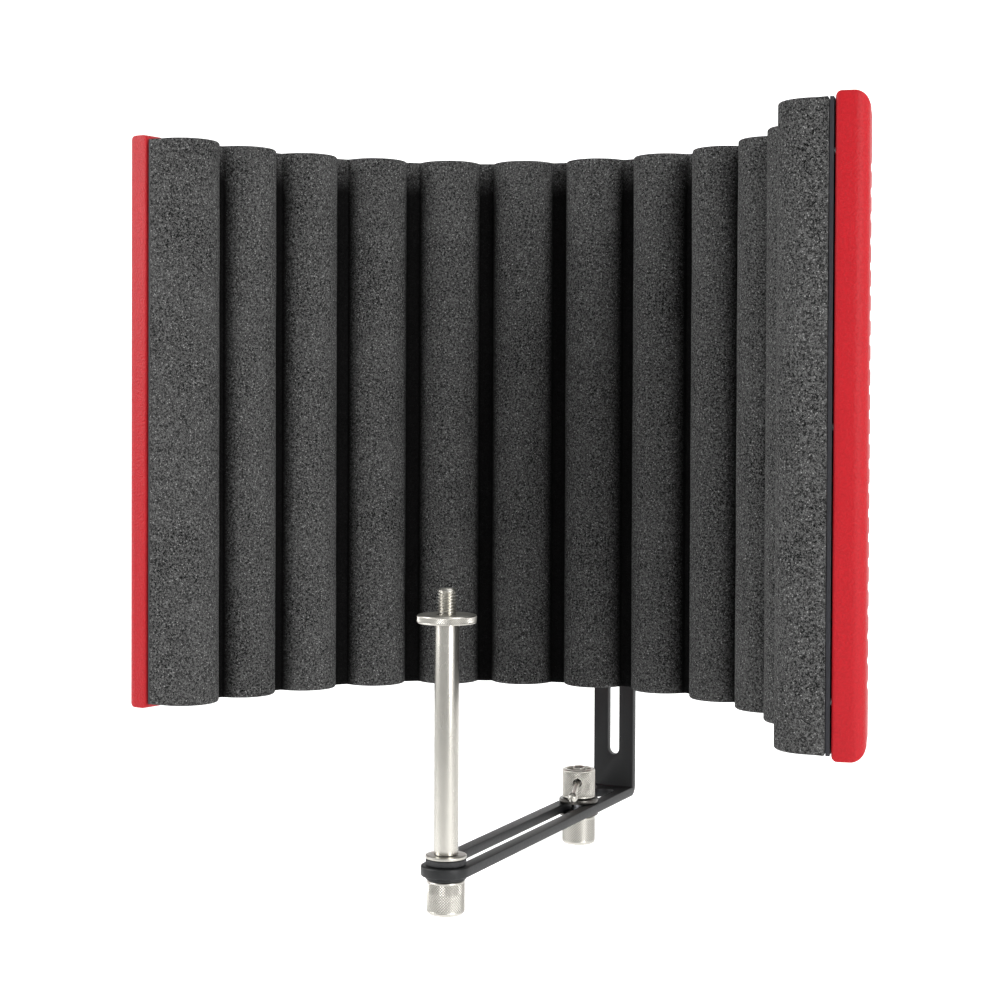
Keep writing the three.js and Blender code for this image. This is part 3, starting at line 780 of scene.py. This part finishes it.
class SHIELD_OT_shell(bpy.types.Operator):
    """Build the ribbed, vented shell behind the foam"""

    bl_idname = "shield.shell"
    bl_label = "Rear shell"

    def execute(self, context):
        s = sizes()
        curve = Curve(s)
        low, high = low_of("rear_shell"), high_of("rear_shell")
        points, floors = shell_section(s, (high - low) / 2 - s.rail_proud)
        stations, vents = shell_stations(s, curve, curve.half - s.rail_length - SEAT_GAP)

        def corner(along, share, point, deeper=0.0):
            offset, z, depth = point
            x, y = curve.flat(along, offset - depth * share * s.groove_depth - deeper)
            return x, y, (low + high) / 2 + z

        vertices = [corner(along, share, point) for along, share in stations for point in points]
        count, total = len(points), len(vertices)
        faces = [list(range(count)), list(range(total - 1, total - count - 1, -1))]
        vent_floors = set()
        for column in range(len(stations) - 1):
            start, end = stations[column][0], stations[column + 1][0]
            for row in range(count):
                first, above = column * count + row, column * count + (row + 1) % count
                quad = [first, above, above + count, first + count]
                if row in floors and (start, end) in vents:
                    corners = ((start, row), (start, row + 1), (end, row + 1), (end, row))
                    inner = list(range(len(vertices), len(vertices) + 4))
                    vertices += [corner(along, 1.0, points[r], s.wall) for along, r in corners]
                    faces += [[quad[i - 1], quad[i], inner[i], inner[i - 1]] for i in (1, 2, 3, 0)]
                    vent_floors.add(len(faces))
                    quad = inner
                faces.append(quad)
        inlay = (material("felt"), vent_floors)
        piece = new_piece("shell_look", vertices, faces, material("red_shell"), 38, inlay)
        attach(piece, "rear_shell")
        return {"FINISHED"}


class SHIELD_OT_rails(bpy.types.Operator):
    """Build the moulded rails that close the shell's two ends"""

    bl_idname = "shield.rails"
    bl_label = "End rails"

    def execute(self, context):
        s = sizes()
        curve = Curve(s)
        for side, label in ((-1, "left"), (1, "right")):
            node = f"end_rail_{label}"
            piece = self.block(s, f"rail_{label}_look", high_of(node) - low_of(node))
            reach = curve.half - s.rail_length
            x, y = curve.flat(side * (reach + SEAT_GAP), s.shell_front)
            turn = Matrix.Rotation(QUARTER - curve.angle(side * reach), 4, "Z")
            if side > 0:
                turn = turn @ Matrix.Rotation(math.pi, 4, "X")
            piece.data.transform(Matrix.Translation((x, y, middle(node).z)) @ turn)
            finish_mesh(piece, material("red_shell"), 30)
            attach(piece, node)
        return {"FINISHED"}

    def block(self, s, name, height):
        """A rail with its back towards +X and its outer end towards +Y."""
        half, depth, end = height / 2, s.shell_depth, s.rail_length
        large, small, least, ease = s.edge_round, s.edge_chamfer, s.edge_chamfer / 2, 0.0005
        plan = [(0, 0), (depth, 0)] + arc(depth - large, end - large, large, 0, 90, 12)
        plan += arc(least, end - least, least, 90, 180, 6)
        upright = prism(name, plan, -half, half)
        outline = arc(small, small - half, small, 180, 270, 6)
        outline += arc(depth - large, large - half, large, 270, 360, 12)
        outline += arc(depth - large, half - large, large, 0, 90, 12)
        outline += arc(small, half - small, small, 90, 180, 6)
        combine(upright, prism("profile", outline, -end, 2 * end, "Y"), "INTERSECT")
        bevelled(upright, ease, segments=2, over_degrees=30)
        return upright


# ---- Bracket ----
def slot_outline(start, end, width):
    return arc(0, end, width / 2, 0, 180, 20) + arc(0, start, width / 2, 180, 360, 20)


class SHIELD_OT_bracket(bpy.types.Operator):
    """Build the slotted bracket, bent from one strip of steel, and its pad"""

    bl_idname = "shield.bracket"
    bl_label = "Bracket and pad"

    def execute(self, context):
        s = sizes()
        (x0, front, bottom), (x1, back, top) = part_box("l_bracket")
        thick, bend, spare = 0.005, 0.001, 0.001
        outer, leg_front, arm_top = bend + thick, back - thick, bottom + thick
        start = front - bend
        side = [(start, bottom)] + arc(back - outer, bottom + outer, outer, -90, 0, 16)
        side += [(back, top), (leg_front, top)]
        side += arc(leg_front - bend, arm_top + bend, bend, 0, -90, 6) + [(start, arm_top)]
        plate = prism("bracket_look", side, x0 - spare, x1 + spare, "X")
        half, pole_y = (x1 - x0) / 2, middle("pole_tube").y
        plan = arc(0, pole_y, half, 180, 360, 48) + [(half, back + outer), (-half, back + outer)]
        combine(plate, prism("plan", plan, bottom - outer, top + outer), "INTERSECT")
        width, rear_land = 0.011, 0.010
        arm_slot = slot_outline(pole_y, leg_front - rear_land - width / 2, width)
        combine(plate, prism("arm_slot", arm_slot, bottom - outer, arm_top + outer), "DIFFERENCE")
        width, foot_land, top_land = 0.007, 0.019, 0.012
        leg_slot = slot_outline(arm_top + foot_land + width / 2, top - top_land - width / 2, width)
        combine(plate, prism("leg_slot", leg_slot, leg_front - outer, back + outer, "Y"), "DIFFERENCE")
        bevelled(plate, s.steel_ease, segments=3, over_degrees=28)
        finish_mesh(plate, material("black_steel"), 30)
        attach(plate, "l_bracket")
        self.pad(s)
        return {"FINISHED"}

    def pad(self, s):
        """A block between the flat leg and the shell's curved back."""
        (x0, _, z0), (x1, back, z1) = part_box("bracket_pad")
        curve, steps, ease = Curve(s), 16, 0.0007
        offset = s.shell_front + s.shell_depth + SEAT_GAP
        outline = []
        for step in range(steps + 1):
            x = x0 + (x1 - x0) * step / steps
            outline.append(curve.flat(curve.back * math.asin(x / (curve.back + offset)), offset))
        pad = prism("pad_look", outline + [(x1, back), (x0, back)], z0, z1)
        bevelled(pad, ease, segments=3, over_degrees=40)
        finish_mesh(pad, material("black_rubber"), 35)
        attach(pad, "bracket_pad")


# ---- Round hardware ----
def round_piece(name, node, profile, finish, at=(0, 0, 0), ease=0.0004, **details):
    """A turned piece that stands for a CAD node. The profile's heights are the frame's own."""
    attach(turned(name, eased(profile, ease), material(finish), at, **details), node)


def ring_profile(node, bore, axis=2):
    low, high, radius = extent(node, axis)
    return [(bore, low), (radius, low), (radius, high), (bore, high), (bore, low)]


def rim(radius, low, high, foot, top):
    """The outside of a disc, with its foot and top edges cut off."""
    return [(radius - foot, low), (radius, low + foot), (radius, high - top), (radius - top, high)]


def washer(node, finish, at=(0, 0, 0), ease=0.0004):
    round_piece(f"{node}_look", node, ring_profile(node, SHANK_BORE), finish, at, ease)


def along_bar():
    """The bar's place through the clamp nut, from the X axis at the origin, and the way its front points."""
    joint = next(j for j in frame["record"]["behaviour"]["joints"] if j["name"] == "tommy_bar_slide")
    front, rear = middle("tommy_ball_front"), middle("tommy_ball_rear")
    forward = (front - rear).normalized()
    if abs(forward.dot(Vector(joint["axis"]).normalized())) < 0.99:
        raise RuntimeError("the bar does not run along its joint")
    centre = rear.lerp(front, rear.xy.length / (rear.xy.length + front.xy.length))
    turn = forward.to_track_quat("X", "Z").to_matrix().to_4x4()
    return Matrix.Translation(centre) @ turn @ Matrix.Rotation(QUARTER, 4, "Y"), forward, centre


class SHIELD_OT_clamp(bpy.types.Operator):
    """Build the stand socket, its washers, the clamp nut and the tommy bar"""

    bl_idname = "shield.clamp"
    bl_label = "Stand clamp"

    def execute(self, context):
        s = sizes()
        self.socket(s)
        washer("clamp_washer_lower", "dark_nickel")
        washer("clamp_washer_upper", "dark_nickel", ease=0.0008)
        self.nut(s)
        self.bar()
        return {"FINISHED"}

    def socket(self, s):
        _, high, radius = extent("stand_socket")
        thread, shoulder = 0.0075, 0.013
        lip, cone, edge = 0.0009, 0.0011, 0.0008
        profile = [(thread, 0), (thread + lip, 0), (radius, cone), (radius, high - edge),
                   (radius - edge, high), (SHANK_BORE, high), (SHANK_BORE, shoulder), (thread, shoulder),
                   (thread, 0)]
        knurl = Band(0.0016, high - 0.0012, s.knurl_pitch, 0.6 * s.knurl_depth)
        round_piece("socket_look", "stand_socket", profile, "nickel_turned", knurl=knurl)

    def nut(self, s):
        low, tip, radius = extent("clamp_nut")
        dome, recess, depth, cap = 0.0018, 0.0070, 0.0025, 0.0035
        top, bore_end = tip - dome, low + 0.007
        foot_edge, top_edge, cross_bore = 0.0004, 0.0006, 0.0025
        profile = [(0, bore_end), (SHANK_BORE, bore_end), (SHANK_BORE, low),
                   *rim(radius, low, top, foot_edge, top_edge), (recess, top), (recess, top - depth),
                   (cap, top - depth), (cap, top + dome / 3), (0.62 * cap, top + 0.84 * dome), (0, tip)]
        nickel = material("nickel_turned")
        knurl = Band(low + 0.0006, top - 0.0007, s.knurl_pitch, s.knurl_depth)
        nut = turned("clamp_nut_look", eased(profile, 0.0005), nickel, knurl=knurl)
        end = 2 * radius
        hole = turned("hole", [(0, -end), (cross_bore, -end), (cross_bore, end), (0, end)], nickel, sides=64)
        hole.data.transform(along_bar()[0])
        combine(nut, hole, "DIFFERENCE")
        drop_flaps(nut)
        finish_mesh(nut, nickel, 30)
        attach(nut, "clamp_nut")

    def bar(self):
        """The rod, and a ball on each end of it. The rod's ends are sunk into the balls."""
        place, forward, centre = along_bar()
        ball, rod, steps = 0.0028, 0.0015, 24
        sunk, neck = 0.5 * ball, 0.86 * ball
        front = (middle("tommy_ball_front") - centre).dot(forward)
        rear = (middle("tommy_ball_rear") - centre).dot(forward)
        start, end = rear + sunk, front - sunk
        profile = eased([(0, start), (rod, start), (rod, end), (0, end)], 0.0002)
        piece = turned("tommy_bar_look", profile, material("nickel_back"), sides=48)
        piece.data.transform(place)
        attach(piece, "tommy_bar")
        for label, at, inwards in (("front", front, -1), ("rear", rear, 1)):
            turns = [math.pi * step / steps for step in range(steps + 1)]
            profile = [(ball * math.sin(turn), at - ball * math.cos(turn)) for turn in turns]
            profile = [(r, z) for r, z in profile if (z - at) * inwards < neck]
            flat = [(0, at + inwards * neck)]
            profile = flat + profile if inwards < 0 else profile + flat
            piece = turned(f"tommy_ball_{label}_look", profile, material("nickel_back"), sides=64)
            piece.data.transform(place)
            attach(piece, f"tommy_ball_{label}")


class SHIELD_OT_pole(bpy.types.Operator):
    """Build the microphone pole with its threaded stud, flange nut, washers and foot nut"""

    bl_idname = "shield.pole"
    bl_label = "Microphone pole"

    def execute(self, context):
        s = sizes()
        at = Vector((0, middle("pole_tube").y, 0))
        round_piece("pole_look", "pole_tube", ring_profile("pole_tube", SHANK_BORE), "nickel_upright", at)
        self.stud(s, at)
        self.flange_nut(s, at)
        washer("pole_washer", "nickel_turned", at)
        washer("pole_collar", "black_rubber", at, 0.0007)
        washer("pole_lower_washer", "black_steel", at)
        self.foot_nut(s, at)
        return {"FINISHED"}

    def stud(self, s, at):
        _, high, radius = extent("pole_stud")
        low, edge = high_of("pole_tube") - 0.004, 0.0012
        profile = [(0, low), (radius, low), (radius, high - edge), (radius - edge, high), (0, high)]
        thread = Band(low, high - 0.0010, s.thread_pitch, s.thread_depth)
        round_piece("stud_look", "pole_stud", profile, "nickel_turned", at, 0.0001, thread=thread)

    def flange_nut(self, s, at):
        low, high, radius = extent("flange_nut")
        bore, edge = 0.0050, 0.0005
        profile = [(bore, low), *rim(radius, low, high, edge, edge), (bore, high), (bore, low)]
        knurl = Band(low + 0.0004, high - 0.0004, 0.8 * s.knurl_pitch, s.knurl_depth)
        round_piece("flange_nut_look", "flange_nut", profile, "nickel_turned", at, 0.0002, knurl=knurl)

    def foot_nut(self, s, at):
        low, high, radius = extent("pole_nut")
        foot_edge, top_edge, bore_end = 0.0012, 0.0006, high - 0.0123
        profile = [(0, low), *rim(radius, low, high, foot_edge, top_edge), (SHANK_BORE, high),
                   (SHANK_BORE, bore_end), (0, bore_end)]
        knurl = Band(low + 0.0014, high - 0.0007, s.knurl_pitch, s.knurl_depth)
        round_piece("pole_nut_look", "pole_nut", profile, "nickel_turned", at, knurl=knurl)


class SHIELD_OT_bolts(bpy.types.Operator):
    """Build the thumb nuts, washers and bolt ends behind the bracket"""

    bl_idname = "shield.bolts"
    bl_label = "Shield bolts"

    def execute(self, context):
        s, bore = sizes(), 0.0033
        for label in ("lower", "upper"):
            height = Vector((0, 0, middle(f"shield_bolt_{label}").z))
            node = f"bolt_washer_{label}"
            round_piece(f"{node}_look", node, ring_profile(node, bore, 1), "zinc_steel", height, axis="Y")
            self.thumb_nut(s, f"thumb_nut_{label}", bore, height)
            self.bolt(f"shield_bolt_{label}", height)
        return {"FINISHED"}

    def thumb_nut(self, s, node, bore, height):
        low, high, radius = extent(node, 1)
        neck, neck_end, slope_end, head_start = 0.72 * radius, low + 0.0020, low + 0.0026, low + 0.0030
        edge, dish = 0.0008, 0.0006
        profile = [(bore, low), (neck, low), (neck, neck_end), (radius - 0.0002, slope_end),
                   (radius, head_start), (radius, high - edge), (radius - edge, high), (neck, high),
                   (neck - dish, high - dish), (bore, high - dish), (bore, low)]
        knurl = Band(low + 0.0032, high - 0.0009, 1.3 * s.knurl_pitch, 1.5 * s.knurl_depth)
        round_piece(f"{node}_look", node, profile, "nickel_back", height, 0.0003, axis="Y", knurl=knurl)

    def bolt(self, node, height):
        low, high, head = extent(node, 1)
        shank, under, head_edge, tip_edge = 0.0030, low + 0.0026, 0.001, 0.0005
        profile = [(0, low), (head - head_edge, low), (head, low + head_edge), (head, under),
                   (shank, under), (shank, high - tip_edge), (shank - tip_edge, high), (0, high)]
        thread = Band(under + 0.010, high - 0.0004, pitch=0.001, depth=0.0005)
        round_piece(f"{node}_look", node, profile, "zinc_steel", height, 0.0002, axis="Y", thread=thread)


class SHIELD_OT_inner_parts(bpy.types.Operator):
    """Give the parts inside the shell and the clamp their own finishes"""

    bl_idname = "shield.inner_parts"
    bl_label = "Inner parts"

    def execute(self, context):
        parts = {"liner_panel": "liner_board", "felt_layer": "felt", "backing_plate": "zinc_steel",
                 "clamp_stud": "zinc_steel", "pole_bolt": "zinc_steel"}
        for label in ("left", "right"):
            parts.update({f"rail_screw_{label}_{number}": "zinc_steel" for number in (1, 2, 3)})
        for node, finish in parts.items():
            part = frame["nodes"][node]
            part.data.materials.clear()
            part.data.materials.append(material(finish))
        return {"FINISHED"}


# ---- Stage ----
def soft_box(name, place, aim_height, width, height, power):
    """A white rectangular light, aimed at a height above the origin."""
    light = bpy.data.lights.new(name, "AREA")
    light.shape = "RECTANGLE"
    light.size = width
    light.size_y = height
    light.energy = power
    lamp = bpy.data.objects.new(name, light)
    lamp.location = place
    aim = Vector((0, 0, aim_height)) - Vector(place)
    lamp.rotation_euler = aim.to_track_quat("-Z", "Y").to_euler()
    bpy.context.scene.collection.objects.link(lamp)


class SHIELD_OT_stage(bpy.types.Operator):
    """Set the pale floor, the soft lights, the sky and the camera"""

    bl_idname = "shield.stage"
    bl_label = "Stage"

    def execute(self, context):
        self.floor(context)
        self.sky(context)
        soft_box("key", (-1.6, -1.0, 1.0), aim_height=0.22, width=0.9, height=1.5, power=42)
        soft_box("fill", (1.7, -1.0, 0.8), aim_height=0.22, width=0.6, height=1.6, power=44)
        soft_box("top", (0.1, 0.3, 1.7), aim_height=0.1, width=1.4, height=1.0, power=9)
        self.camera(context)
        return {"FINISHED"}

    def floor(self, context):
        """A sheet that bends up before and behind the object, with flat sides. It glows more behind."""
        level, top, radius = -0.42, 6.0, 1.4
        before, behind, side = -4.5, 2.4, 7.0
        line = [(before, top)] + arc(before + radius, level + radius, radius, 180, 270)
        line += arc(behind - radius, level + radius, radius, -90, 0) + [(behind, top)]
        vertices = [(x, y, z) for y, z in line for x in (-side, side)]
        faces = [[2 * i, 2 * i + 1, 2 * i + 3, 2 * i + 2] for i in range(len(line) - 1)]
        faces += [list(range(end, len(vertices), 2)) for end in (0, 1)]
        finish = Finish("studio_floor", Specular_IOR_Level=0.1, Emission_Strength=0.45)
        paper = finish.noise(scale=3.0, detail=3.0)
        color = context.scene.shield_colors.floor
        finish.set("Base Color", finish.blend(paper, color, shade(color, 0.985)))
        finish.set("Roughness", 0.8 + paper * 0.1)
        along = finish.node("ShaderNodeSeparateXYZ", output="Y", Vector=finish.place())
        finish.set("Emission Color", finish.blend(along.step_from(-3.0, -0.6), shade(WHITE, 0.1), WHITE))
        sheet = new_piece("studio_floor", vertices, faces, finish.material, 60)

    def sky(self, context):
        world = bpy.data.worlds.new("studio")
        world.use_nodes = True
        context.scene.world = world
        background = world.node_tree.nodes["Background"]
        background.inputs["Color"].default_value = (*WHITE, 1.0)
        background.inputs["Strength"].default_value = 0.12

    def camera(self, context):
        lens = bpy.data.cameras.new("camera")
        lens.lens = 71.3
        lens.sensor_width = 36.0
        lens.shift_y = -0.052
        lens.clip_end = 50.0
        lens.dof.use_dof = False
        eye = bpy.data.objects.new("camera", lens)
        context.scene.collection.objects.link(eye)
        place, heading = (0.4242, -1.0535, 0.2462), Vector((-0.411, 0.912, 0.0))
        pitch, roll = math.radians(1.0), math.radians(0.25)
        ahead = heading.normalized() - Vector((0, 0, math.tan(pitch)))
        turn = ahead.to_track_quat("-Z", "Y").to_matrix().to_4x4()
        eye.matrix_world = Matrix.Translation(place) @ turn @ Matrix.Rotation(roll, 4, "Z")
        context.scene.camera = eye
        context.scene.view_settings.view_transform = "Standard"


OPERATORS = (SHIELD_OT_foam, SHIELD_OT_shell, SHIELD_OT_rails, SHIELD_OT_bracket, SHIELD_OT_clamp,
             SHIELD_OT_pole, SHIELD_OT_bolts, SHIELD_OT_inner_parts, SHIELD_OT_stage)


class SHIELD_PT_panel(bpy.types.Panel):
    """Lists the pieces of the isolation shield"""

    bl_idname = "SHIELD_PT_panel"
    bl_label = "Isolation shield"
    bl_space_type = "VIEW_3D"
    bl_region_type = "UI"
    bl_category = "Shield"

    def draw(self, context):
        for operator in OPERATORS:
            self.layout.operator(operator.bl_idname)
        for settings in (context.scene.shield_sizes, context.scene.shield_colors):
            box = self.layout.box()
            for name in settings.__annotations__:
                box.prop(settings, name)


CLASSES = (ShieldSizes, ShieldColors, *OPERATORS, SHIELD_PT_panel)


def register():
    for each in CLASSES:
        bpy.utils.register_class(each)
    bpy.types.Scene.shield_sizes = bpy.props.PointerProperty(type=ShieldSizes)
    bpy.types.Scene.shield_colors = bpy.props.PointerProperty(type=ShieldColors)


def unregister():
    del bpy.types.Scene.shield_colors
    del bpy.types.Scene.shield_sizes
    for each in reversed(CLASSES):
        bpy.utils.unregister_class(each)


def main():
    register()
    bpy.ops.shield.foam()
    bpy.ops.shield.shell()
    bpy.ops.shield.rails()
    bpy.ops.shield.bracket()
    bpy.ops.shield.clamp()
    bpy.ops.shield.pole()
    bpy.ops.shield.bolts()
    bpy.ops.shield.inner_parts()
    bpy.ops.shield.stage()
    bpy.context.view_layer.update()


if __name__ == "__main__":
    main()
